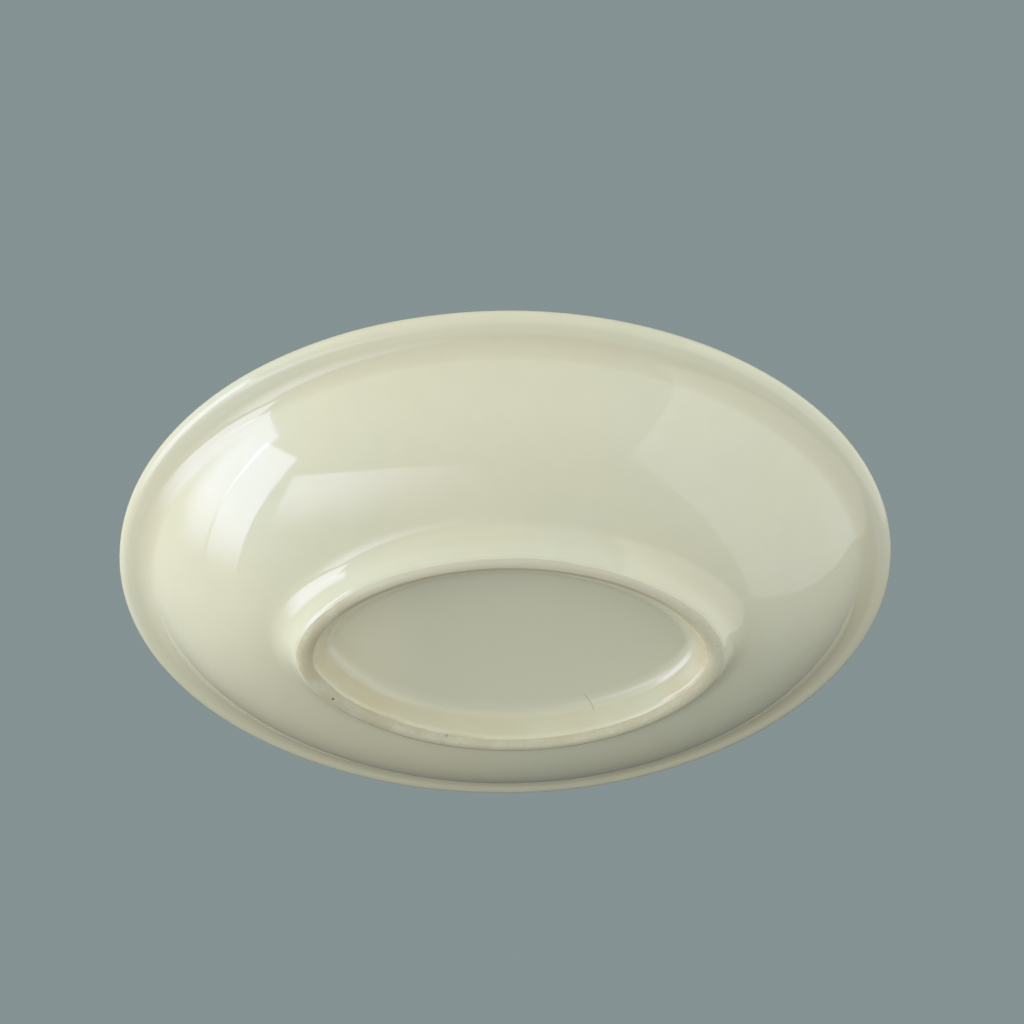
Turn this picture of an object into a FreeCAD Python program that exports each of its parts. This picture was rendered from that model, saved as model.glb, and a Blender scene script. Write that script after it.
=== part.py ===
import FreeCAD, Part
import math
import os
import Sketcher

# An oval soap dish of glazed earthenware: one wall section carried round an oval foot ring, and a plate in
# the middle. X runs along the dish, Y across it and Z up. The origin is in the middle of the foot ring's
# dry face.

V = FreeCAD.Vector
doc = FreeCAD.newDocument("soap_dish")
sheet = doc.addObject("Spreadsheet::Sheet", "sizes")

# Driving sizes in millimetres and degrees, measured over the glaze
SIZES = [
    ("foot_length", 89.6, "foot ring, outside, along the dish"),
    ("foot_width", 49.2, "foot ring, outside, across the dish"),
    ("foot_end_radius", 12.8, "radius of the oval at the two ends of the foot ring"),
    ("flare", 37.7, "from the foot ring out to the rim, the same all round"),
    ("dish_height", 38.3, "from the foot ring's face to the top of the lip"),
    ("wall", 4.5, "thickness of the wall, glaze included"),
    ("glaze", 0.3, "thickness of the glaze"),
    ("lip_radius", 2.6, "roundness of the lip's outer edge"),
    ("shoulder_radius", 7, "rounding of the wall's top, between the well and the lip"),
    ("groove_radius", 9, "hollow under the lip"),
    ("belly_radius", 46, "swelling of the wall"),
    ("belly_start_inset", 6, "where the belly starts, in from the rim"),
    ("belly_start_depth", 6.4, "where the belly starts, down from the top"),
    ("belly_end_step", 5.2, "where the belly ends, out from the foot ring"),
    ("belly_end_rise", 8.4, "where the belly ends, up from the foot ring's face"),
    ("cove_radius", 8, "hollow between the belly and the foot ring"),
    ("foot_draft_angle", 22, "lean of the foot ring's outer wall"),
    ("foot_face_width", 3.2, "dry face of the foot ring, between its sharp corners"),
    ("foot_edge_radius", 0.8, "rounding of the dry face's edges"),
    ("glaze_start", 0.8, "from the foot ring's sharp corners up to the edge of the glaze"),
    ("recess_depth", 7, "glazed base inside the foot ring, up from its face"),
    ("recess_draft_angle", 26, "lean of the foot ring's inner wall"),
    ("recess_corner_radius", 3.5, "hollow between that wall and the base"),
    ("floor_blend_radius", 16, "hollow between the well's wall and its floor"),
    ("floor_blend_angle", 22, "turn of that hollow"),
    ("plate_overlap", 1, "how far the middle plate runs into the swept wall"),
]
for row, (alias, number, meaning) in enumerate(SIZES, start=1):
    sheet.set(f"A{row}", alias)
    sheet.set(f"B{row}", str(number))
    sheet.set(f"C{row}", meaning)
    sheet.setAlias(f"B{row}", alias)
doc.recompute()

# Sizes that follow from the driving ones, as expressions
FOOT_END = "(sizes.foot_length / 2)"
RIM_END = f"({FOOT_END} + sizes.flare)"
RECESS_END = f"({FOOT_END} - sizes.foot_face_width)"
WELL_RADIUS = "(sizes.belly_radius - sizes.wall)"
FOOT_WALL_ANGLE = "(90 - sizes.foot_draft_angle) * 1 deg"
RECESS_WALL_ANGLE = "(sizes.recess_draft_angle - 90) * 1 deg"
RECESS_RUN = "(sizes.recess_depth * tan(sizes.recess_draft_angle * 1 deg) + sizes.recess_corner_radius)"
PLATE_INSET = f"((sizes.foot_face_width + {RECESS_RUN} + sizes.foot_end_radius) / 2)"
PLATE_END = f"({FOOT_END} - {PLATE_INSET})"
END_CENTER = f"({FOOT_END} - sizes.foot_end_radius)"
SIDE_SPARE = "(sizes.foot_width / 2 - sizes.foot_end_radius)"
SIDE_CENTER = f"(({END_CENTER} ^ 2 - {SIDE_SPARE} ^ 2) / (2 * {SIDE_SPARE}))"


def value(expression):
    return float(sheet.evalExpression(expression))


def size(alias):
    return value(f"sizes.{alias}")


# Plane geometry, for the places where the sketches start

def direction(degrees):
    return V(math.cos(math.radians(degrees)), math.sin(math.radians(degrees)), 0)


def left_of(way):
    return V(-way.y, way.x, 0)


def circle_through(first, second, radius):
    """Center of a circle through two points, to the left of the way from first to second."""
    way = second - first
    aside = math.sqrt(radius ** 2 - (way.Length / 2) ** 2)
    return (first + second) / 2 + left_of(way) * (aside / way.Length)


def circles_meet(center, radius, other_center, other_radius):
    """Where two circles cross, to the left of the way from one center to the other."""
    way = other_center - center
    along = (way.Length ** 2 + radius ** 2 - other_radius ** 2) / (2 * way.Length)
    aside = math.sqrt(radius ** 2 - along ** 2)
    return center + way * (along / way.Length) + left_of(way) * (aside / way.Length)


def line_meets_circle(start, way, center, radius):
    """The first point, along a unit way from start, at that radius from the center."""
    apart = start - center
    half = apart.dot(way)
    return start - way * (half + math.sqrt(half ** 2 - apart.dot(apart) + radius ** 2))


def touching_point(center, turn, next_center, next_turn):
    """Where two touching arcs meet; a turn is a radius, positive where the way bends left."""
    return center + (next_center - center) * (turn / (turn - next_turn))


# Sketch pieces: each edge keeps the numbers of its first and last point in walking order, and of its center

class Edge:
    def __init__(self, sketch, geometry, bends_left=True):
        self.index = sketch.addGeometry(geometry, False)
        self.first = (self.index, 1 if bends_left else 2)
        self.last = (self.index, 2 if bends_left else 1)
        self.center = (self.index, 3)


def add_line(sketch, start, end):
    return Edge(sketch, Part.LineSegment(start, end))


def add_arc(sketch, center, turn, start, end):
    low, high = (start, end) if turn > 0 else (end, start)
    angles = [math.atan2(point.y - center.y, point.x - center.x) for point in (low, high)]
    return Edge(sketch, Part.ArcOfCircle(Part.Circle(center, V(0, 0, 1), abs(turn)), *angles), turn > 0)


def join(sketch, edge, following, kind="Tangent"):
    sketch.addConstraint(Sketcher.Constraint(kind, *edge.last, *following.first))


def join_chain(sketch, edges):
    for edge, following in zip(edges, edges[1:]):
        join(sketch, edge, following)


def bind(sketch, kind, *where, to):
    """Adds a dimension that follows an expression."""
    start_value = math.radians(value(to)) if kind == "Angle" else value(to)
    index = sketch.addConstraint(Sketcher.Constraint(kind, *where, start_value))
    sketch.setExpression(f"Constraints[{index}]", to)


# The numbers by which a sketch knows its axes and its origin
AXES = {"X": -1, "Y": -2}
ORIGIN = (AXES["X"], 1)


def hold_on_line(sketch, geometry, point, line):
    sketch.addConstraint(Sketcher.Constraint("PointOnObject", geometry, point, line))


def hold_on_axis(sketch, geometry, point, letter):
    hold_on_line(sketch, geometry, point, AXES[letter])


def add_mark(sketch, x, y=None):
    """A construction point, on the horizontal axis unless y is given."""
    point = V(value(x), value(y) if y else 0, 0)
    index = sketch.addGeometry(Part.Point(point), True)
    bind(sketch, "DistanceX", *ORIGIN, index, 1, to=x)
    if y:
        bind(sketch, "DistanceY", *ORIGIN, index, 1, to=y)
    else:
        hold_on_axis(sketch, index, 1, "X")
    return index


def hold_wall(sketch, line, mark, angle, buried):
    """Leans a straight wall and keeps it on its mark, or one glaze thickness from it."""
    bind(sketch, "Angle", line.index, to=angle)
    if buried:
        bind(sketch, "Distance", mark, 1, line.index, to="sizes.glaze")
    else:
        hold_on_line(sketch, mark, 1, line.index)


def new_sketch(body, name, role):
    sketch = body.newObject("Sketcher::SketchObject", name)
    plane = next(feature for feature in body.Origin.OriginFeatures if feature.Role == role)
    sketch.AttachmentSupport = [(plane, "")]
    sketch.MapMode = "FlatFace"
    return sketch


def draw_wall(sketch, buried):
    """Draws the surface from the foot ring over the lip to the well's floor, on the glaze or under it."""
    depth = size("glaze") if buried else 0
    shift = "sizes.glaze" if buried else "0"

    # Centers of the arcs, the same on the glaze and under it
    belly_start_x = f"{RIM_END} - sizes.belly_start_inset"
    belly_start_z = "sizes.dish_height - sizes.belly_start_depth"
    belly_end_x = f"{FOOT_END} + sizes.belly_end_step"
    belly_end_z = "sizes.belly_end_rise"
    belly_start = V(value(belly_start_x), value(belly_start_z), 0)
    belly_end = V(value(belly_end_x), value(belly_end_z), 0)
    belly = circle_through(belly_end, belly_start, size("belly_radius"))

    up_foot = direction(value(FOOT_WALL_ANGLE))
    out_of_foot = -left_of(up_foot)
    foot_corner = V(value(FOOT_END), 0, 0)
    cove_track = foot_corner + out_of_foot * size("cove_radius")
    cove = line_meets_circle(cove_track, up_foot, belly, size("belly_radius") + size("cove_radius"))

    shoulder_z = value("sizes.dish_height - sizes.shoulder_radius")
    shoulder_reach = value(f"{WELL_RADIUS} + sizes.shoulder_radius")
    shoulder_x = belly.x + math.sqrt(shoulder_reach ** 2 - (belly.y - shoulder_z) ** 2)
    shoulder = V(shoulder_x, shoulder_z, 0)
    lip_x = value(f"{RIM_END} - sizes.lip_radius")
    lip_reach = value("sizes.shoulder_radius - sizes.lip_radius")
    lip = V(lip_x, shoulder_z + math.sqrt(lip_reach ** 2 - (lip_x - shoulder_x) ** 2), 0)
    groove = circles_meet(
        lip, size("lip_radius") + size("groove_radius"), belly, size("belly_radius") + size("groove_radius")
    )
    blend_way = direction(size("floor_blend_angle") - 90)
    blend = belly + blend_way * value(f"{WELL_RADIUS} - sizes.floor_blend_radius")

    # Arcs in walking order, with the radius each has on the glaze and the side to which it bends
    arcs = [
        (cove, "sizes.cove_radius", -1),
        (belly, "sizes.belly_radius", 1),
        (groove, "sizes.groove_radius", -1),
        (lip, "sizes.lip_radius", 1),
        (shoulder, "sizes.shoulder_radius", 1),
        (belly, WELL_RADIUS, -1),
        (blend, "sizes.floor_blend_radius", -1),
    ]
    turns = [side * (value(radius) - side * depth) for center, radius, side in arcs]
    stops = [cove - out_of_foot * abs(turns[0])]
    for number in range(len(arcs) - 1):
        stops.append(touching_point(arcs[number][0], turns[number], arcs[number + 1][0], turns[number + 1]))
    stops.append(blend + V(0, turns[-1], 0))

    wall_foot = foot_corner - out_of_foot * depth + up_foot * size("glaze_start")
    foot_wall = add_line(sketch, wall_foot, stops[0])
    curves = [
        add_arc(sketch, center, turn, start, end)
        for (center, radius, side), turn, start, end in zip(arcs, turns, stops, stops[1:])
    ]
    floor = add_line(sketch, stops[-1], V(value(PLATE_END), stops[-1].y, 0))
    join_chain(sketch, [foot_wall, *curves, floor])

    for curve, (center, radius, side) in zip(curves, arcs):
        bind(sketch, "Radius", curve.index, to=f"{radius} - {shift}" if side > 0 else f"{radius} + {shift}")
    _, belly_arc, _, lip_arc, shoulder_arc, well_arc, blend_arc = curves
    corner_mark = add_mark(sketch, FOOT_END)
    hold_wall(sketch, foot_wall, corner_mark, FOOT_WALL_ANGLE, buried)
    for mark in (add_mark(sketch, belly_start_x, belly_start_z), add_mark(sketch, belly_end_x, belly_end_z)):
        bind(sketch, "Distance", *belly_arc.center, mark, 1, to="sizes.belly_radius")
    bind(sketch, "DistanceX", *ORIGIN, *lip_arc.center, to=f"{RIM_END} - sizes.lip_radius")
    bind(sketch, "DistanceY", *ORIGIN, *shoulder_arc.center, to="sizes.dish_height - sizes.shoulder_radius")
    sketch.addConstraint(Sketcher.Constraint("Coincident", *well_arc.center, *belly_arc.center))
    bind(sketch, "Angle", blend_arc.index, to="sizes.floor_blend_angle * 1 deg")
    sketch.addConstraint(Sketcher.Constraint("Horizontal", floor.index))
    bind(sketch, "DistanceX", *ORIGIN, *floor.last, to=PLATE_END)
    return foot_wall, floor, corner_mark


def draw_recess(sketch, buried):
    """Draws the base inside the foot ring and the ring's inner wall, on the glaze or under it."""
    depth = size("glaze") if buried else 0
    shift = "sizes.glaze" if buried else "0"
    down_wall = direction(value(RECESS_WALL_ANGLE))
    into_ring = left_of(down_wall)
    ring_corner = V(value(RECESS_END), 0, 0)
    corner_z = size("recess_depth") - size("recess_corner_radius")
    corner_track = ring_corner - into_ring * size("recess_corner_radius")
    corner = corner_track + down_wall * ((corner_z - corner_track.y) / down_wall.y)
    turn = -(size("recess_corner_radius") + depth)

    base_end = corner - V(0, turn, 0)
    wall_top = corner - into_ring * turn
    wall_foot = ring_corner + into_ring * depth - down_wall * size("glaze_start")
    base = add_line(sketch, V(value(PLATE_END), base_end.y, 0), base_end)
    corner_arc = add_arc(sketch, corner, turn, base_end, wall_top)
    ring_wall = add_line(sketch, wall_top, wall_foot)
    join_chain(sketch, [base, corner_arc, ring_wall])

    bind(sketch, "Radius", corner_arc.index, to=f"sizes.recess_corner_radius + {shift}")
    ring_mark = add_mark(sketch, RECESS_END)
    hold_wall(sketch, ring_wall, ring_mark, RECESS_WALL_ANGLE, buried)
    sketch.addConstraint(Sketcher.Constraint("Horizontal", base.index))
    bind(sketch, "DistanceX", *ORIGIN, *base.first, to=PLATE_END)
    bind(sketch, "DistanceY", *ORIGIN, *base.first, to=f"sizes.recess_depth + {shift}")
    return base, ring_wall, ring_mark


def draw_dry_face(sketch, ring_wall, foot_wall):
    """Closes the foot ring with its dry face and the two rounded edges."""
    radius = size("foot_edge_radius")
    sunk = radius + size("glaze")
    down_wall = direction(value(RECESS_WALL_ANGLE))
    up_foot = direction(value(FOOT_WALL_ANGLE))
    inner_track = V(value(RECESS_END), 0, 0) + left_of(down_wall) * sunk
    outer_track = V(value(FOOT_END), 0, 0) + left_of(up_foot) * sunk
    inner = inner_track + down_wall * ((radius - inner_track.y) / down_wall.y)
    outer = outer_track + up_foot * ((radius - outer_track.y) / up_foot.y)
    inner_foot = V(inner.x, 0, 0)
    outer_foot = V(outer.x, 0, 0)
    inner_edge = add_arc(sketch, inner, radius, inner - left_of(down_wall) * radius, inner_foot)
    face = add_line(sketch, inner_foot, outer_foot)
    outer_edge = add_arc(sketch, outer, radius, outer_foot, outer - left_of(up_foot) * radius)
    join_chain(sketch, [ring_wall, inner_edge, face, outer_edge, foot_wall])
    for edge in (inner_edge, outer_edge):
        bind(sketch, "Radius", edge.index, to="sizes.foot_edge_radius")
    hold_on_axis(sketch, *face.first, "X")
    hold_on_axis(sketch, *face.last, "X")


def bridge(sketch, start, end):
    """Joins two points, each given by its edge's number and its own, with a straight line."""
    line = add_line(sketch, sketch.getPoint(*start), sketch.getPoint(*end))
    sketch.addConstraint(Sketcher.Constraint("Coincident", *start, *line.first))
    sketch.addConstraint(Sketcher.Constraint("Coincident", *end, *line.last))
    return line


def close_band(sketch, mark, wall, buried_wall, floor, buried_floor):
    """Closes a band of glaze square to the wall at its edge, and at the middle plate."""
    edge = bridge(sketch, wall, buried_wall)
    sketch.addConstraint(Sketcher.Constraint("Perpendicular", edge.index, wall[0]))
    bind(sketch, "Distance", mark, 1, *wall, to="sizes.glaze_start")
    bridge(sketch, floor, buried_floor)


def name_rise(sketch, low, high, name):
    """Names the rise from one point to another, so that features can follow it."""
    rise = sketch.getPoint(*high).y - sketch.getPoint(*low).y
    index = sketch.addConstraint(Sketcher.Constraint("DistanceY", *low, *high, rise))
    sketch.setDriving(index, False)
    sketch.renameConstraint(index, name)


def draw_oval(body, name, inset):
    """Draws the foot ring's outside, moved in by an inset: two end arcs, one halved, and two side arcs."""
    sketch = new_sketch(body, name, "XY_Plane")
    right = V(value(END_CENTER), 0, 0)
    upper = V(0, value(SIDE_CENTER), 0)
    end_radius = value(f"sizes.foot_end_radius - {inset}")
    side_radius = end_radius + (right + upper).Length
    corner = right + (right + upper) * (end_radius / (right + upper).Length)
    tip = right + V(end_radius, 0, 0)
    mirrored = V(-corner.x, corner.y, 0)
    upper_end = add_arc(sketch, right, end_radius, tip, corner)
    upper_side = add_arc(sketch, -upper, side_radius, corner, mirrored)
    far_end = add_arc(sketch, -right, end_radius, mirrored, -corner)
    lower_side = add_arc(sketch, upper, side_radius, -corner, -mirrored)
    lower_end = add_arc(sketch, right, end_radius, -mirrored, tip)
    join_chain(sketch, [upper_end, upper_side, far_end, lower_side, lower_end])
    join(sketch, lower_end, upper_end, "Coincident")
    sketch.addConstraint(Sketcher.Constraint("Coincident", *lower_end.center, *upper_end.center))
    bind(sketch, "Radius", upper_end.index, to=f"sizes.foot_end_radius - {inset}")
    hold_on_axis(sketch, *upper_end.first, "X")
    hold_on_axis(sketch, *upper_end.center, "X")
    hold_on_axis(sketch, *far_end.center, "X")
    hold_on_axis(sketch, *upper_side.center, "Y")
    bind(sketch, "DistanceX", *ORIGIN, *upper_end.center, to=END_CENTER)
    bind(sketch, "DistanceX", *far_end.center, *ORIGIN, to=END_CENTER)
    bind(sketch, "DistanceY", *upper_side.center, *ORIGIN, to=SIDE_CENTER)
    bind(sketch, "DistanceY", *ORIGIN, *lower_side.center, to=SIDE_CENTER)
    return sketch


def sweep_round(body, section):
    """Carries a section round the foot ring's outside."""
    path = draw_oval(body, f"{body.Name}_path", "0")
    doc.recompute()
    pipe = body.newObject("PartDesign::AdditivePipe", f"{body.Name}_wall")
    pipe.Profile = section
    pipe.Spine = path
    doc.recompute()


def fill_middle(body, bottom, thickness):
    """Closes the middle of the dish with a flat oval plate."""
    outline = draw_oval(body, f"{body.Name}_plate_outline", f"({PLATE_INSET} - sizes.plate_overlap)")
    outline.setExpression("AttachmentOffset.Base.z", bottom)
    doc.recompute()
    plate = body.newObject("PartDesign::Pad", f"{body.Name}_plate")
    plate.Profile = outline
    plate.setExpression("Length", thickness)
    doc.recompute()


def new_body(name):
    body = doc.addObject("PartDesign::Body", name)
    body.Label = name
    return body, new_sketch(body, f"{name}_section", "XZ_Plane")


# The fired clay: wall, foot ring and floor
earthenware, section = new_body("earthenware_body")
foot_wall, floor, _ = draw_wall(section, buried=True)
base, ring_wall, _ = draw_recess(section, buried=True)
draw_dry_face(section, ring_wall, foot_wall)
bridge(section, floor.last, base.first)
name_rise(section, base.first, floor.last, "base_thickness")
sweep_round(earthenware, section)
fill_middle(
    earthenware, "sizes.recess_depth + sizes.glaze", "earthenware_body_section.Constraints.base_thickness"
)

# The coat of glaze, from the well over the lip to the foot ring
coat, section = new_body("glaze_coat")
glazed_wall, glazed_floor, glazed_mark = draw_wall(section, buried=False)
buried_wall, buried_floor, _ = draw_wall(section, buried=True)
close_band(section, glazed_mark, glazed_wall.first, buried_wall.first, glazed_floor.last, buried_floor.last)
name_rise(section, ORIGIN, buried_floor.last, "floor_height")
sweep_round(coat, section)
fill_middle(coat, "glaze_coat_section.Constraints.floor_height", "sizes.glaze")

# The glaze inside the foot ring
lining, section = new_body("base_glaze")
glazed_base, glazed_wall, glazed_mark = draw_recess(section, buried=False)
buried_base, buried_wall, _ = draw_recess(section, buried=True)
close_band(section, glazed_mark, glazed_wall.last, buried_wall.last, glazed_base.first, buried_base.first)
sweep_round(lining, section)
fill_middle(lining, "sizes.recess_depth", "sizes.glaze")

# Every object has to be sound before anything is written
for item in doc.Objects:
    if "Invalid" in item.State or "Error" in item.State:
        raise RuntimeError(f"{item.Label} failed: {item.State}")
os.makedirs("parts", exist_ok=True)
for body in (earthenware, coat, lining):
    shape = body.Shape
    if shape.isNull() or not shape.isValid() or len(shape.Solids) != 1:
        raise RuntimeError(f"{body.Label} is not one sound solid")
    shape.exportStep(f"parts/{body.Label}.step")
    print(f"{body.Label}: {shape.Volume:.0f} cubic mm")
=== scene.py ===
import bpy
import bmesh
import math
from bisect import bisect_right
from mathutils import Matrix, Vector, noise


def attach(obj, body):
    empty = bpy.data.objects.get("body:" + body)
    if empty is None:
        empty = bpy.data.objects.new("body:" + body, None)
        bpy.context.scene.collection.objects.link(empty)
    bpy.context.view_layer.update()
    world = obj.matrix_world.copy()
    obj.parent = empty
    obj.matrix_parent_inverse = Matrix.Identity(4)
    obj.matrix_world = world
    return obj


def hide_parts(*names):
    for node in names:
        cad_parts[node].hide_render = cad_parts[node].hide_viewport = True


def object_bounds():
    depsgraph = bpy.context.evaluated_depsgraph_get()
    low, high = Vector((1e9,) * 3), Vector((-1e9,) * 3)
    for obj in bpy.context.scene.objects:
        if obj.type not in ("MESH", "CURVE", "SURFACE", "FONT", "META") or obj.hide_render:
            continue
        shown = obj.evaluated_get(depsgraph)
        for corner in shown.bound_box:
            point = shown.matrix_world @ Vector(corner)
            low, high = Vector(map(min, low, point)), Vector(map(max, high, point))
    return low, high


# An oval glazed earthenware soap dish, seen from below its foot ring. All lengths are in metres.

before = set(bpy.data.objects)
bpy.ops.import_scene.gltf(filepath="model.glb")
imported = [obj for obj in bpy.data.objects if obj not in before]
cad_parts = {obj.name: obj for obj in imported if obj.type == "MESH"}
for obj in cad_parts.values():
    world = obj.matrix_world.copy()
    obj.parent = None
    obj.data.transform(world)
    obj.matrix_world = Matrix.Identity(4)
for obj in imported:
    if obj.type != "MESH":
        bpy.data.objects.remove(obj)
cad_low, cad_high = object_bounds()

MM = 0.001
LENGTH = cad_high.x - cad_low.x
WIDTH = cad_high.y - cad_low.y
HEIGHT = cad_high.z

# The section of the wall, with distances out from the foot ring's outer edge and heights over its face
FLARE = 37.7 * MM
WALL = 4.5 * MM
GLAZE = 0.3 * MM
LIP_RADIUS = 2.6 * MM
SHOULDER_RADIUS = 7 * MM
GROOVE_RADIUS = 9 * MM
BELLY_RADIUS = 46 * MM
BELLY_START = Vector((FLARE - 6 * MM, HEIGHT - 6.4 * MM))
BELLY_END = Vector((5.2 * MM, 8.4 * MM))
COVE_RADIUS = 8 * MM
FOOT_DRAFT = math.radians(22)
FOOT_FACE = 3.2 * MM
FOOT_EDGE_RADIUS = 0.8 * MM
GLAZE_START = 0.8 * MM
RECESS_DEPTH = 7 * MM
RECESS_DRAFT = math.radians(26)
RECESS_CORNER_RADIUS = 3.5 * MM
FLOOR_BLEND_RADIUS = 16 * MM
FLOOR_BLEND_TURN = math.radians(22)
WELL_RADIUS = BELLY_RADIUS - WALL

# How finely the surfaces are cut, and how softly the section's curves run into each other
AROUND = 256
SECTION_STEP = 0.5 * MM
SOFTNESS = 0.7 * MM


def smooth(low, high, value):
    share = min(1, max(0, (value - low) / (high - low)))
    return share * share * (3 - 2 * share)


# Plane geometry for the section

def heading(angle):
    return Vector((math.cos(angle), math.sin(angle)))


def left_of(way):
    return Vector((-way.y, way.x))


def circle_through(first, second, radius):
    """Center of a circle through two points, to the left of the way from first to second."""
    way = second - first
    aside = math.sqrt(radius ** 2 - (way.length / 2) ** 2)
    return (first + second) / 2 + left_of(way) * (aside / way.length)


def circles_meet(center, radius, other_center, other_radius):
    """Where two circles cross, to the left of the way from one center to the other."""
    way = other_center - center
    along = (way.length ** 2 + radius ** 2 - other_radius ** 2) / (2 * way.length)
    aside = math.sqrt(radius ** 2 - along ** 2)
    return center + way * (along / way.length) + left_of(way) * (aside / way.length)


def line_meets_circle(start, way, center, radius):
    """The first point, along a unit way from start, at that radius from the center."""
    apart = start - center
    half = apart.dot(way)
    return start - way * (half + math.sqrt(half ** 2 - apart.dot(apart) + radius ** 2))


def arc_points(center, turn, start, end):
    """Points along an arc after its start; a turn is a radius, positive where the way bends left."""
    first = math.atan2(start.y - center.y, start.x - center.x)
    last = math.atan2(end.y - center.y, end.x - center.x)
    sweep = (last - first) % math.tau if turn > 0 else -((first - last) % math.tau)
    count = max(3, math.ceil(abs(sweep * turn) / (SECTION_STEP / 2)))
    return [center + heading(first + sweep * k / count) * abs(turn) for k in range(1, count + 1)]


class Path:
    """A line through section points, read by the distance along it. The clay is on its left."""

    def __init__(self, points):
        self.points = points
        self.marks = [0.0]
        for point, following in zip(points, points[1:]):
            self.marks.append(self.marks[-1] + (following - point).length)
        self.length = self.marks[-1]

    def at(self, distance):
        number = min(max(bisect_right(self.marks, distance) - 1, 0), len(self.points) - 2)
        share = (distance - self.marks[number]) / (self.marks[number + 1] - self.marks[number])
        return self.points[number].lerp(self.points[number + 1], share)

    def way(self, distance):
        reach = SECTION_STEP / 2
        return (self.at(distance + reach) - self.at(distance - reach)).normalized()

    def outward(self, distance):
        return -left_of(self.way(distance))

    def bend(self, distance):
        """How sharply the line bends there, per metre, positive where the surface is hollow."""
        reach = 2 * SECTION_STEP
        before, after = self.way(distance - reach), self.way(distance + reach)
        return -before.cross(after) / (2 * reach)

    def softened(self):
        """The same line with its bends eased into each other; the ends stay."""
        reach = 3
        count = round(self.length / (SECTION_STEP / 2))
        points = []
        for number in range(count + 1):
            place = self.length * number / count
            room = min(SOFTNESS, place / reach, (self.length - place) / reach)
            total = Vector((0, 0))
            weights = 0
            for k in range(-reach * 2, reach * 2 + 1):
                weight = math.exp(-((k / 2) ** 2) / 2)
                total += self.at(place + room * k / 2) * weight
                weights += weight
            points.append(total / weights)
        return Path(points)


def wall_points():
    """The clay from the foot ring's dry face, over the lip, to the well's floor."""
    up_foot = heading(math.pi / 2 - FOOT_DRAFT)
    out_of_foot = -left_of(up_foot)
    belly = circle_through(BELLY_END, BELLY_START, BELLY_RADIUS)
    cove = line_meets_circle(out_of_foot * COVE_RADIUS, up_foot, belly, BELLY_RADIUS + COVE_RADIUS)
    shoulder_z = HEIGHT - SHOULDER_RADIUS
    shoulder_reach = WELL_RADIUS + SHOULDER_RADIUS
    shoulder = Vector((belly.x + math.sqrt(shoulder_reach ** 2 - (belly.y - shoulder_z) ** 2), shoulder_z))
    lip_x = FLARE - LIP_RADIUS
    lip_reach = SHOULDER_RADIUS - LIP_RADIUS
    lip = Vector((lip_x, shoulder_z + math.sqrt(lip_reach ** 2 - (lip_x - shoulder.x) ** 2)))
    groove = circles_meet(lip, LIP_RADIUS + GROOVE_RADIUS, belly, BELLY_RADIUS + GROOVE_RADIUS)
    blend = belly + heading(FLOOR_BLEND_TURN - math.pi / 2) * (WELL_RADIUS - FLOOR_BLEND_RADIUS)
    edge_x = -(FOOT_EDGE_RADIUS + GLAZE) / math.cos(FOOT_DRAFT) + FOOT_EDGE_RADIUS * math.tan(FOOT_DRAFT)
    edge = Vector((edge_x, FOOT_EDGE_RADIUS))
    arcs = [
        (cove, -COVE_RADIUS - GLAZE),
        (belly, BELLY_RADIUS - GLAZE),
        (groove, -GROOVE_RADIUS - GLAZE),
        (lip, LIP_RADIUS - GLAZE),
        (shoulder, SHOULDER_RADIUS - GLAZE),
        (belly, -WELL_RADIUS - GLAZE),
        (blend, -FLOOR_BLEND_RADIUS - GLAZE),
    ]
    stops = [cove - out_of_foot * (COVE_RADIUS + GLAZE)]
    for (center, turn), (next_center, next_turn) in zip(arcs, arcs[1:]):
        stops.append(center + (next_center - center) * (turn / (turn - next_turn)))
    stops.append(blend - Vector((0, FLOOR_BLEND_RADIUS + GLAZE)))
    face_end = Vector((edge.x, 0))
    wall_start = edge + out_of_foot * FOOT_EDGE_RADIUS
    points = [face_end, *arc_points(edge, FOOT_EDGE_RADIUS, face_end, wall_start), stops[0]]
    for (center, turn), start, end in zip(arcs, stops, stops[1:]):
        points += arc_points(center, turn, start, end)
    return points


def recess_points():
    """The clay from the base inside the foot ring down to the ring's dry face."""
    down_wall = heading(RECESS_DRAFT - math.pi / 2)
    into_ring = left_of(down_wall)
    corner_z = RECESS_DEPTH - RECESS_CORNER_RADIUS
    track = Vector((-FOOT_FACE, 0)) - into_ring * RECESS_CORNER_RADIUS
    corner = track + down_wall * ((corner_z - track.y) / down_wall.y)
    turn = RECESS_CORNER_RADIUS + GLAZE
    base_end = corner + Vector((0, turn))
    edge_x = (FOOT_EDGE_RADIUS + GLAZE) / math.cos(RECESS_DRAFT) - FOOT_EDGE_RADIUS * math.tan(RECESS_DRAFT)
    edge = Vector((edge_x - FOOT_FACE, FOOT_EDGE_RADIUS))
    face_start = Vector((edge.x, 0))
    wall_end = edge - into_ring * FOOT_EDGE_RADIUS
    points = [base_end, *arc_points(corner, -turn, base_end, corner + into_ring * turn), wall_end]
    return points + arc_points(edge, FOOT_EDGE_RADIUS, wall_end, face_start)


clay_path = Path(recess_points() + wall_points()).softened()
heights = [clay_path.at(place).y for place in clay_path.marks]
face_middle = clay_path.marks[heights.index(min(heights))]
inner_edge = max(s for s, z in zip(clay_path.marks, heights) if z > GLAZE_START and s < face_middle)
outer_edge = min(s for s, z in zip(clay_path.marks, heights) if z > GLAZE_START and s > face_middle)

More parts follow.
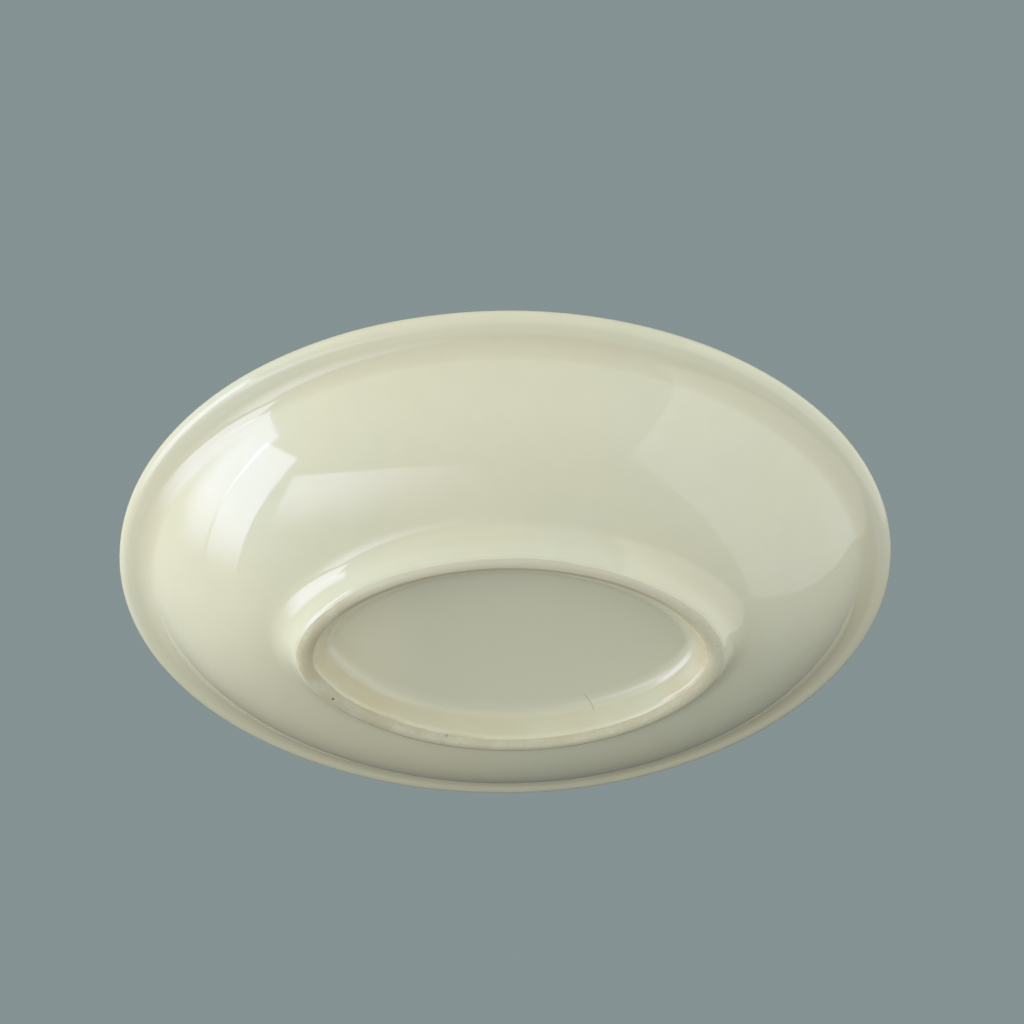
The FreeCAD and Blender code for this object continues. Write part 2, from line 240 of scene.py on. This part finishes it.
# The rim's outline, by the distance from the middle to its tangent in each direction. It is a little out of
# true, and the surface swells and dips slightly, as handmade ware does.
OVAL_STRETCH = (LENGTH - WIDTH) / 4
OVAL_FULLNESS = -0.3 * MM
WARPS = [(3, 0.08 * MM, 2.2), (4, 0.05 * MM, 2.1), (5, 0.05 * MM, 1.9)]
SWELL = 0.05 * MM
SWELL_LENGTH = 17 * MM
CALM_HEIGHT = 3 * MM

# The foot ring's face is narrower along its long sides, and the ring sits off the rim's middle
SIDE_NARROWING = 0.6 * MM
FOOT_DRIFT = 0.9 * MM
DRIFT_FADE = (6 * MM, 30 * MM)


def warp(angle):
    return sum(amount * math.cos(count * angle + phase) for count, amount, phase in WARPS)


RIM_REACH = max(point.x for point in clay_path.points) + GLAZE
WARP_ROOM = max(warp(quarter * math.pi / 2) for quarter in range(4)) + SWELL
OVAL_MEAN = (LENGTH + WIDTH) / 4 - OVAL_FULLNESS - WARP_ROOM


def rim_reach(angle):
    """Distance to the rim's tangent in a direction, and how fast it changes."""
    reach = OVAL_MEAN + OVAL_STRETCH * math.cos(2 * angle) + OVAL_FULLNESS * math.cos(4 * angle)
    reach += warp(angle)
    change = -2 * OVAL_STRETCH * math.sin(2 * angle) - 4 * OVAL_FULLNESS * math.sin(4 * angle)
    for count, amount, phase in WARPS:
        change -= amount * count * math.sin(count * angle + phase)
    return reach, change


ANGLES = [math.tau * k / AROUND for k in range(AROUND)]
RIM = [rim_reach(angle) for angle in ANGLES]


def ring_at(place, lift_at):
    """A ring of points at a place along the section; lift_at gives the rise off the clay at an angle."""
    spot = clay_path.at(place)
    away = clay_path.outward(place)
    inside = 1 - smooth(-0.8 * FOOT_FACE, -0.35 * FOOT_FACE, spot.x)
    calm = smooth(0, CALM_HEIGHT, spot.y)
    drift = FOOT_DRIFT * (1 - smooth(*DRIFT_FADE, spot.y))
    ring = []
    for angle, (reach, change) in zip(ANGLES, RIM):
        around = heading(angle)
        lift = lift_at(angle)
        out = spot.x + away.x * lift + SIDE_NARROWING * inside * math.sin(angle) ** 2
        flat = around * (reach - RIM_REACH + out) + left_of(around) * change
        point = Vector((flat.x, flat.y - drift, spot.y + away.y * lift))
        swelling = noise.noise(point / SWELL_LENGTH) * SWELL * calm
        ring.append(point + Vector((around.x * away.x, around.y * away.x, away.y)) * swelling)
    return ring


def disc_rings(rim):
    """Smaller and smaller copies of a ring towards its middle, and the middle point."""
    shares = [0.93, 0.84, 0.72, 0.58, 0.44, 0.3, 0.17, 0.07]
    middle = sum(rim, Vector()) / len(rim)
    return [[middle.lerp(point, share) for point in rim] for share in shares], middle


def places_between(first, last, coarseness=1):
    """Places along the section, closer together at the foot ring and the lip."""
    places = [first]
    while places[-1] < last:
        spot = clay_path.at(places[-1])
        fine = spot.y < 4.5 * MM or spot.x > FLARE - 5 * MM
        places.append(places[-1] + SECTION_STEP * coarseness * (0.5 if fine else 1))
    places[-1] = last
    return places


def build_skin(name, rings, marks, first_middle, last_middle):
    """A closed skin through rings of points, with a middle point at both ends and marks on its points."""
    vertices = [point for ring in rings for point in ring]
    faces = []
    for row in range(len(rings) - 1):
        for k in range(AROUND):
            here = row * AROUND + k
            beside = row * AROUND + (k + 1) % AROUND
            faces.append((here, beside, beside + AROUND, here + AROUND))
    for middle, start in ((first_middle, 0), (last_middle, (len(rings) - 1) * AROUND)):
        vertices.append(middle)
        tip = len(vertices) - 1
        faces += [(start + k, start + (k + 1) % AROUND, tip) for k in range(AROUND)]
    mesh = bpy.data.meshes.new(name)
    mesh.from_pydata(vertices, [], faces)
    for mark, rows in marks.items():
        values = [value for row in rows for value in row]
        values += [rows[0][0], rows[-1][0]]
        mesh.attributes.new(mark, "FLOAT", "POINT").data.foreach_set("value", values)
    shaped = bmesh.new()
    shaped.from_mesh(mesh)
    bmesh.ops.recalc_face_normals(shaped, faces=shaped.faces)
    shaped.to_mesh(mesh)
    shaped.free()
    mesh.shade_smooth()
    piece = bpy.data.objects.new(name, mesh)
    bpy.context.scene.collection.objects.link(piece)
    return piece


# The glaze starts at a wandering edge, thin, and lies on the clay
EDGE_WANDER = 0.35 * MM
EDGE_FEATHER = 0.9 * MM
EDGE_ROOM = 0.7 * MM
SUNK = 0.03 * MM
STAIN_REACH = 1.1 * MM


def edge_wander(angle, seed):
    spot = Vector((math.cos(angle) * 4, math.sin(angle) * 4, seed))
    return (noise.noise(spot) * 0.75 + noise.noise(spot * 4) * 0.25) * EDGE_WANDER


def glaze_skin(name, edge, end, seed):
    """A coat of glaze from its edge at the foot ring to the end of the section, and across the middle."""
    side = 1 if end > edge else -1
    start = edge - side * EDGE_ROOM
    low, high = min(start, end), max(start, end)
    on_top = places_between(low, high)[::side]
    under = places_between(low, high, 2)[::side]

    def past_edge(place, angle):
        return (place - edge) * side - edge_wander(angle, seed)

    def top_lift(place):
        return lambda angle: (GLAZE + SUNK) * smooth(0, EDGE_FEATHER, past_edge(place, angle)) - SUNK

    top = [ring_at(place, top_lift(place)) for place in on_top]
    bottom = [ring_at(place, lambda angle: -2 * SUNK) for place in under]
    top_disc, top_middle = disc_rings(top[-1])
    bottom_disc, bottom_middle = disc_rings(bottom[-1])
    rings = bottom_disc[::-1] + bottom[::-1] + top + top_disc
    places = [end] * len(bottom_disc) + under[::-1] + on_top + [end] * len(top_disc)
    marks = {
        "hollow": [[clay_path.bend(place)] * AROUND for place in places],
        "stain": [
            [1 - smooth(0, STAIN_REACH, past_edge(place, angle)) for angle in ANGLES]
            for place in places
        ],
        "height": [[clay_path.at(place).y] * AROUND for place in places],
        "inside_ring": [[1 if side < 0 else 0] * AROUND] * len(places),
    }
    return build_skin(name, rings, marks, bottom_middle, top_middle)


def clay_skin(name):
    """The clay from the middle of the base, over the dry face and the lip, to the middle of the well."""
    places = places_between(0, clay_path.length, 1.6)
    rings = [ring_at(place, lambda angle: 0) for place in places]
    base_disc, base_middle = disc_rings(rings[0])
    floor_disc, floor_middle = disc_rings(rings[-1])
    inward = [smooth(-0.35 * FOOT_FACE, -0.75 * FOOT_FACE, clay_path.at(place).x) for place in places]
    inward = [1] * len(base_disc) + inward + [0] * len(floor_disc)
    marks = {"inward": [[value] * AROUND for value in inward]}
    return build_skin(name, base_disc[::-1] + rings + floor_disc, marks, base_middle, floor_middle)


class Nodes:
    """A node tree, built by short calls that give back nodes or sockets."""

    def __init__(self, tree):
        self.tree = tree

    def feed(self, socket, value):
        """Links an output to a socket, or sets the socket to a plain value."""
        if isinstance(value, bpy.types.NodeSocket):
            self.tree.links.new(value, socket)
        else:
            socket.default_value = value

    def set(self, node, **inputs):
        for name, value in inputs.items():
            self.feed(node.inputs[name.replace("_", " ")], value)
        return node

    def add(self, kind, **inputs):
        return self.set(self.tree.nodes.new(kind), **inputs)

    def math(self, operation, first, second=0):
        node = self.add("ShaderNodeMath")
        node.operation = operation
        self.feed(node.inputs[0], first)
        self.feed(node.inputs[1], second)
        return node.outputs["Value"]

    def vector(self, operation, first, second=(0, 0, 0)):
        node = self.add("ShaderNodeVectorMath")
        node.operation = operation
        self.feed(node.inputs[0], first)
        self.feed(node.inputs[1], second)
        return node

    def span(self, value, low, high, to_low=0.0, to_high=1.0):
        """A smooth step between two values."""
        node = self.add("ShaderNodeMapRange")
        node.interpolation_type = "SMOOTHSTEP"
        self.set(node, Value=value, From_Min=low, From_Max=high, To_Min=to_low, To_Max=to_high)
        return node.outputs["Result"]

    def mix(self, share, first, second):
        """One colour turning into another."""
        node = self.add("ShaderNodeMix")
        node.data_type = "RGBA"
        sockets = {socket.identifier: socket for socket in node.inputs}
        for name, value in (("Factor_Float", share), ("A_Color", first), ("B_Color", second)):
            self.feed(sockets[name], (*value, 1) if isinstance(value, tuple) else value)
        return next(socket for socket in node.outputs if socket.identifier == "Result_Color")

    def either(self, share, first, second):
        """One shader turning into another."""
        node = self.add("ShaderNodeMixShader", Fac=share)
        self.feed(node.inputs[1], first)
        self.feed(node.inputs[2], second)
        return node.outputs["Shader"]


class Surface(Nodes):
    """A material and the patterns that its colours follow."""

    def __init__(self, name):
        self.material = bpy.data.materials.new(name)
        self.material.use_nodes = True
        super().__init__(self.material.node_tree)
        self.shader = self.tree.nodes["Principled BSDF"]
        self.place = self.add("ShaderNodeTexCoord").outputs["Object"]

    def noise(self, size, detail):
        """Soft noise from 0 to 1 with features of about that size."""
        node = self.add("ShaderNodeTexNoise", Vector=self.place, Scale=1 / size, Detail=detail)
        return node.outputs["Fac"]

    def specks(self, spacing, size, share):
        """Small round specks, one in that share of the cells of a given spacing."""
        cells = self.add("ShaderNodeTexVoronoi", Vector=self.place, Scale=1 / spacing)
        near = self.span(cells.outputs["Distance"], size / spacing, size / spacing / 2)
        split = self.add("ShaderNodeSeparateColor", Color=cells.outputs["Color"])
        chosen = self.math("LESS_THAN", split.outputs["Red"], share)
        return self.math("MULTIPLY", near, chosen)

    def along_x(self):
        return self.add("ShaderNodeSeparateXYZ", Vector=self.place).outputs["X"]

    def flat_distance(self, spot):
        """How far each point is from an upright line through a spot on the ground."""
        flat = self.vector("MULTIPLY", self.place, (1, 1, 0)).outputs["Vector"]
        return self.vector("DISTANCE", flat, (*spot, 0)).outputs["Value"]

    def mark(self, name):
        node = self.add("ShaderNodeAttribute")
        node.attribute_name = name
        return node.outputs["Fac"]

    def bump(self, height, distance, strength):
        node = self.add("ShaderNodeBump", Height=height, Distance=distance, Strength=strength)
        return node.outputs["Normal"]


# Colours of the glaze
CREAM_COOL = (0.70, 0.72, 0.555)
CREAM_WARM = (0.72, 0.715, 0.53)
CREAM_MOTTLE = (0.68, 0.685, 0.50)
# Pooled glaze, yellower in the hollows, and darker there too as painted shade in the groove and the cove
CREAM_POOLED_AND_SHADED = (0.62, 0.59, 0.41)
BASE_GREY = (0.635, 0.645, 0.49)
# The lighter, warmer end of the base inside the ring: painted light, with a warmer tone
BASE_WARM_AND_LIT = (0.78, 0.76, 0.56)
FLUSH_TAN = (0.70, 0.58, 0.34)
STAIN_BROWN = (0.46, 0.34, 0.19)
GLAZE_SPECK = (0.40, 0.34, 0.22)

# A hairline mark inside the foot ring: part of a circle, near one spot
HAIRLINE_TONE = (0.42, 0.41, 0.32)
HAIRLINE_CENTER = (-8.8 * MM, -23.3 * MM)
HAIRLINE_RADIUS = 11 * MM
HAIRLINE_SPOT = (-17.5 * MM, -16.2 * MM)

# Colours of the dry clay, and two specks on it
CLAY_DEEP = (0.57, 0.56, 0.41)
CLAY_PALE = (0.63, 0.62, 0.46)
CLAY_TAN = (0.52, 0.49, 0.315)
CLAY_SPECK = (0.34, 0.31, 0.22)
DARK_SPECK = (0.13, 0.12, 0.09)
DARK_SPECK_SPOT = (37.0 * MM, -11.7 * MM)
FAINT_SPECK = (0.42, 0.38, 0.28)
FAINT_SPECK_SPOT = (12.9 * MM, -21.5 * MM)

# One long side of the foot ring, where a film of glaze lies on its face, and how far that side reaches
FILM_CREAM = (0.59, 0.575, 0.43)
FILM_END_TAN = (0.50, 0.45, 0.30)
FILM_SIDE = (0, 22 * MM)
FILM_FULL = 26 * MM
FILM_GONE = 42 * MM


def cream_glaze():
    """A glossy cream glaze, yellower where it pools and darker there as painted shade, with painted light
    at one end of the base, stained at its edge and flushed inside the ring.
    """
    glaze = Surface("cream_glaze")
    height = glaze.mark("height")
    inside = glaze.mark("inside_ring")
    cloud = glaze.span(glaze.noise(38 * MM, 1.0), 0.35, 0.65)
    color = glaze.mix(cloud, CREAM_COOL, CREAM_WARM)
    mottle = glaze.span(glaze.noise(6 * MM, 3.0), 0.35, 0.7)
    color = glaze.mix(glaze.math("MULTIPLY", mottle, 0.35), color, CREAM_MOTTLE)

    # Yellower and darker in the hollows, most in the groove under the lip: pooled glaze, with painted shade
    # in these creases
    pooled_and_shaded = glaze.span(glaze.mark("hollow"), 15.0, 170.0)
    pooled_and_shaded = glaze.math("MULTIPLY", pooled_and_shaded, glaze.span(height, 10 * MM, 22 * MM, 0.25, 0.75))
    color = glaze.mix(pooled_and_shaded, color, CREAM_POOLED_AND_SHADED)

    # Lighter and warmer towards the +X end of the base inside the ring: painted light on that end, with a
    # warmer tone
    base = glaze.mix(glaze.span(glaze.along_x(), 14 * MM, 40 * MM), BASE_GREY, BASE_WARM_AND_LIT)
    flat = glaze.span(height, 5.8 * MM, 6.9 * MM)
    color = glaze.mix(glaze.math("MULTIPLY", inside, flat), color, base)

    low = glaze.span(height, 6.6 * MM, 3.5 * MM)
    flush = glaze.math("MULTIPLY", low, glaze.span(glaze.noise(11 * MM, 2.0), 0.3, 0.65))
    ends = glaze.span(glaze.math("ABSOLUTE", glaze.along_x()), 12 * MM, 36 * MM, 0.3, 1.0)
    flush = glaze.math("MULTIPLY", flush, glaze.math("MULTIPLY", inside, ends))
    color = glaze.mix(glaze.math("MULTIPLY", flush, 0.5), color, FLUSH_TAN)

    off_circle = glaze.math("SUBTRACT", glaze.flat_distance(HAIRLINE_CENTER), HAIRLINE_RADIUS)
    line = glaze.span(glaze.math("ABSOLUTE", off_circle), 0.12 * MM, 0.04 * MM)
    near = glaze.span(glaze.flat_distance(HAIRLINE_SPOT), 2.4 * MM, 1.2 * MM)
    hairline = glaze.math("MULTIPLY", line, near)
    color = glaze.mix(glaze.math("MULTIPLY", hairline, inside), color, HAIRLINE_TONE)

    patches = glaze.span(glaze.noise(9 * MM, 2.0), 0.52, 0.68)
    stained = glaze.math("MULTIPLY", glaze.mark("stain"), patches)
    no_film = glaze.span(glaze.flat_distance(FILM_SIDE), FILM_FULL, FILM_GONE)
    stained = glaze.math("MULTIPLY", stained, no_film)
    color = glaze.mix(glaze.math("MULTIPLY", stained, 0.45), color, STAIN_BROWN)
    color = glaze.mix(glaze.specks(7 * MM, 0.22 * MM, 0.12), color, GLAZE_SPECK)

    dull = glaze.span(glaze.noise(14 * MM, 3.0), 0.3, 0.7, 0.04, 0.08)
    dull = glaze.math("ADD", dull, glaze.math("MULTIPLY", inside, 0.1))
    ripple = glaze.bump(glaze.noise(5 * MM, 1.0), 0.02 * MM, 0.6)
    glaze.set(glaze.shader, Base_Color=color, Roughness=dull, IOR=1.6, Normal=ripple)
    return glaze.material


def biscuit():
    """Dry fired clay with a fine grain, tan patches towards the inside and a film of glaze on one side."""
    clay = Surface("biscuit")
    inward = clay.mark("inward")
    grain = clay.noise(0.5 * MM, 3.0)
    color = clay.mix(clay.span(grain, 0.3, 0.7), CLAY_DEEP, CLAY_PALE)

    patches = clay.span(clay.noise(5 * MM, 3.0), 0.33, 0.62)
    worn_end = clay.span(clay.along_x(), -35 * MM, 40 * MM, 0.0, 0.75)
    worn = clay.math("MAXIMUM", worn_end, clay.span(inward, 0, 1, 0, 0.5))
    color = clay.mix(clay.math("MULTIPLY", patches, worn), color, CLAY_TAN)

    color = clay.mix(clay.specks(3 * MM, 0.2 * MM, 0.15), color, CLAY_SPECK)
    dark = clay.span(clay.flat_distance(DARK_SPECK_SPOT), 0.4 * MM, 0.12 * MM)
    color = clay.mix(dark, color, DARK_SPECK)
    faint = clay.span(clay.flat_distance(FAINT_SPECK_SPOT), 0.4 * MM, 0.2 * MM)
    color = clay.mix(faint, color, FAINT_SPECK)

    film_side = clay.span(clay.flat_distance(FILM_SIDE), FILM_GONE, FILM_FULL)
    film = clay.math("MULTIPLY", film_side, clay.span(inward, 0.55, 0.05))
    color = clay.mix(film, color, FILM_CREAM)
    film_end = clay.math("MULTIPLY", film_side, clay.span(inward, 0.4, 0.9))
    color = clay.mix(clay.math("MULTIPLY", film_end, 0.8), color, FILM_END_TAN)

    dull = clay.span(film, 0, 1, 0.9, 0.35)
    clay.set(clay.shader, Base_Color=color, Roughness=dull, Normal=clay.bump(grain, 0.05 * MM, 0.7))
    return clay.material


coat = glaze_skin("glaze_coat_skin", outer_edge, clay_path.length, 1.5)
lining = glaze_skin("base_glaze_skin", inner_edge, 0, 7.5)
clay = clay_skin("earthenware_skin")
cream = cream_glaze()
dry = biscuit()
for piece, node, slot, material in (
    (coat, "glaze_coat", "cream_glaze", cream),
    (lining, "base_glaze", "cream_glaze", cream),
    (clay, "earthenware_body", "biscuit", dry),
):
    piece.data.materials.append(material)
    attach(piece, "root")
    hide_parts(node)

# The camera, as the photograph was taken: below the foot ring, on the +Y side
VIEW_TILT = math.radians(34.75)
VIEW_YAW = math.radians(-2.53)
VIEW_ROLL = math.radians(0.44)
VIEW_DISTANCE = 1.372
PIXELS_PER_METRE = 4676.9
RIM_PIXEL = Vector((505.3, 550.6))
PHOTO_PIXELS = 1024
RIM_MIDDLE = Vector((0, 0, HEIGHT))

toward = Vector((0, math.sin(VIEW_TILT), -math.cos(VIEW_TILT)))
photo_up = Vector((0, math.cos(VIEW_TILT), math.sin(VIEW_TILT)))
photo_right = Vector((-1, 0, 0))
turned = toward * math.cos(VIEW_YAW) + photo_right * math.sin(VIEW_YAW)
photo_right = photo_right * math.cos(VIEW_YAW) - toward * math.sin(VIEW_YAW)
toward = turned
rolled = photo_right * math.cos(VIEW_ROLL) + photo_up * math.sin(VIEW_ROLL)
photo_up = photo_up * math.cos(VIEW_ROLL) - photo_right * math.sin(VIEW_ROLL)
photo_right = rolled


def stand(obj, place, back, up):
    """Puts an object at a place with its local Z along back and its local Y near up."""
    back = back.normalized()
    right = up.cross(back).normalized()
    turn = Matrix((right, back.cross(right), back)).transposed()
    obj.matrix_world = Matrix.Translation(place) @ turn.to_4x4()


camera = bpy.data.objects.new("camera", bpy.data.cameras.new("camera"))
bpy.context.scene.collection.objects.link(camera)
focal_pixels = PIXELS_PER_METRE * VIEW_DISTANCE
camera.data.sensor_width = 36
camera.data.lens = camera.data.sensor_width * focal_pixels / PHOTO_PIXELS
aside = (RIM_PIXEL - Vector((PHOTO_PIXELS, PHOTO_PIXELS)) / 2) / focal_pixels
aim = toward + photo_right * aside.x - photo_up * aside.y
stand(camera, RIM_MIDDLE + toward * VIEW_DISTANCE, aim, photo_up)
bpy.context.scene.camera = camera

# The room stands upright while the camera looks down into it
ROOM_TILT = math.radians(35)
room_up = photo_up * math.cos(ROOM_TILT) + toward * math.sin(ROOM_TILT)
room_front = toward * math.cos(ROOM_TILT) - photo_up * math.sin(ROOM_TILT)


def in_room(right_degrees, up_degrees):
    """A direction from the dish, by its angles to the right and up, starting level and below the camera."""
    across = math.radians(right_degrees)
    up = math.radians(up_degrees)
    flat = photo_right * math.sin(across) + room_front * math.cos(across)
    return flat * math.cos(up) + room_up * math.sin(up)


# Bright places of the room: their left and right edges and their bottom and top, in degrees to the right
# and up in the room, their strength, the strength of the sky's shine that the glaze shows on top of it,
# and along which sides, from where to where, they fade in
DAYLIGHT = (0.98, 1.0, 1.04)
SKY = (0.88, 0.92, 1.7)
LAMPS = [
    ("window_left", -98, -73.4, -14, 40, 1.35, 1.8, [("X", 0, 0.6), ("Y", 0, 0.5)]),
    ("window_right", -72.8, -54, -14, 36, 1.6, 1.8, [("Y", 0, 0.5)]),
    ("pale_wall", -45, 5, 8, 33, 1.3, 0.9, [("X", 1, 0.15), ("Y", 0, 0.8)]),
    ("side_wall", 40, 140, -22, 53, 0.68, 0, []),
]
LAMP_DISTANCE = 1.2
GLINT_DISTANCE = 1.3

# Light from above the standing dish, for its well; it has no shine of its own
OVERHEAD = 1.6
OVERHEAD_SPREAD = 75

# Soft parts of the room's light: a direction, where along it the part starts and is full, and its strength
ROOM_PARTS = [
    (room_up, 0.4, 0.95, 0.67),
    (room_front, 0.1, 1.0, 0.4),
    (-room_front, 0.1, 1.0, 0.12),
    (-photo_right, 0.2, 1.0, 1.1),
    ((photo_right + room_up * 0.3).normalized(), 0.2, 1.0, 0.34),
]

# What the camera sees past the dish: pale to the sides, and the photograph's grey where it looks up
PALE_BACKGROUND = (0.8, 0.81, 0.81)
GREY_BACKGROUND = (0.232, 0.288, 0.292)
GREY_STARTS = 0.2
GREY_FULL = 0.6

# The floor fades into the background over these distances from the dish
FLOOR_COLOR = (0.62, 0.64, 0.64)
FLOOR_LEVEL = -0.05 * MM
FLOOR_FADE_STARTS = 0.3
FLOOR_END = 1.05


def add_lamp(name, way, wide, high, distance, radiance, color, fades):
    """A rectangle of light in a direction from the dish, by its angles across and its brightness."""
    width = 2 * distance * math.tan(math.radians(wide) / 2)
    height = 2 * distance * math.tan(math.radians(high) / 2)
    lamp = bpy.data.objects.new(name, bpy.data.lights.new(name, "AREA"))
    lamp.data.shape = "RECTANGLE"
    lamp.data.size = width
    lamp.data.size_y = height
    lamp.data.energy = radiance * math.pi * width * height
    lamp.data.color = color
    lamp.visible_camera = False
    lamp.data.use_nodes = True
    glow = Nodes(lamp.data.node_tree)
    spot = glow.add("ShaderNodeSeparateXYZ", Vector=glow.add("ShaderNodeNewGeometry").outputs["Parametric"])
    level = 1
    for axis, dark, bright in fades:
        level = glow.math("MULTIPLY", glow.span(spot.outputs[axis], dark, bright), level)
    glow.set(glow.tree.nodes["Emission"], Strength=level)
    bpy.context.scene.collection.objects.link(lamp)
    stand(lamp, Vector((0, 0, HEIGHT / 2)) + way * distance, way, room_up)
    return lamp


def add_lamps():
    for name, left, right, bottom, top, strength, shine, fades in LAMPS:
        way = in_room((left + right) / 2, (bottom + top) / 2)
        wide = right - left
        high = top - bottom
        add_lamp(name, way, wide, high, LAMP_DISTANCE, strength, DAYLIGHT, fades)
        if shine:
            glint = add_lamp(name + "_glint", way, wide, high, GLINT_DISTANCE, shine, SKY, fades)
            glint.visible_diffuse = False
    above = Vector((0, 0, 1))
    spread = OVERHEAD_SPREAD
    overhead = add_lamp("overhead", above, spread, spread, LAMP_DISTANCE, OVERHEAD, DAYLIGHT, [])
    overhead.visible_glossy = False


def fill_room():
    """Light whose soft parts add up in each direction, and the background that the camera sees."""
    world = bpy.data.worlds.new("room")
    bpy.context.scene.world = world
    world.use_nodes = True
    room = Nodes(world.node_tree)
    direction = room.add("ShaderNodeTexCoord").outputs["Generated"]
    total = 0
    for way, begins, full, amount in ROOM_PARTS:
        along = room.vector("DOT_PRODUCT", direction, way).outputs["Value"]
        total = room.math("ADD", room.span(along, begins, full, 0, amount), total)
    light = room.set(room.tree.nodes["Background"], Color=(1, 1, 1, 1), Strength=total)
    upward = room.add("ShaderNodeSeparateXYZ", Vector=direction).outputs["Z"]
    tone = room.mix(room.span(upward, GREY_STARTS, GREY_FULL), PALE_BACKGROUND, GREY_BACKGROUND)
    seen = room.add("ShaderNodeBackground", Color=tone)
    camera_ray = room.add("ShaderNodeLightPath").outputs["Is Camera Ray"]
    shown = room.either(camera_ray, light.outputs["Background"], seen.outputs["Background"])
    room.set(room.tree.nodes["World Output"], Surface=shown)


def floor_paint():
    """Matt pale paint that shows from above only and fades into the background away from the dish."""
    paint = Surface("floor_paint")
    paint.set(paint.shader, Base_Color=(*FLOOR_COLOR, 1), Roughness=0.9)
    spot = paint.add("ShaderNodeNewGeometry")
    away = paint.vector("LENGTH", spot.outputs["Position"]).outputs["Value"]
    faded = paint.span(away, FLOOR_FADE_STARTS, FLOOR_END)
    hidden = paint.math("MAXIMUM", spot.outputs["Backfacing"], faded)
    clear = paint.add("ShaderNodeBsdfTransparent").outputs["BSDF"]
    shown = paint.either(hidden, paint.shader.outputs["BSDF"], clear)
    paint.set(paint.tree.nodes["Material Output"], Surface=shown)
    return paint.material


def add_floor():
    sides = ((-1, -1), (1, -1), (1, 1), (-1, 1))
    mesh = bpy.data.meshes.new("floor")
    mesh.from_pydata([(x * FLOOR_END, y * FLOOR_END, FLOOR_LEVEL) for x, y in sides], [], [(0, 1, 2, 3)])
    mesh.materials.append(floor_paint())
    floor = bpy.data.objects.new("floor", mesh)
    bpy.context.scene.collection.objects.link(floor)
    for ray in ("diffuse", "glossy", "transmission", "volume_scatter", "shadow"):
        setattr(floor, f"visible_{ray}", False)


fill_room()
add_lamps()
add_floor()

bpy.context.scene.view_settings.view_transform = "Standard"
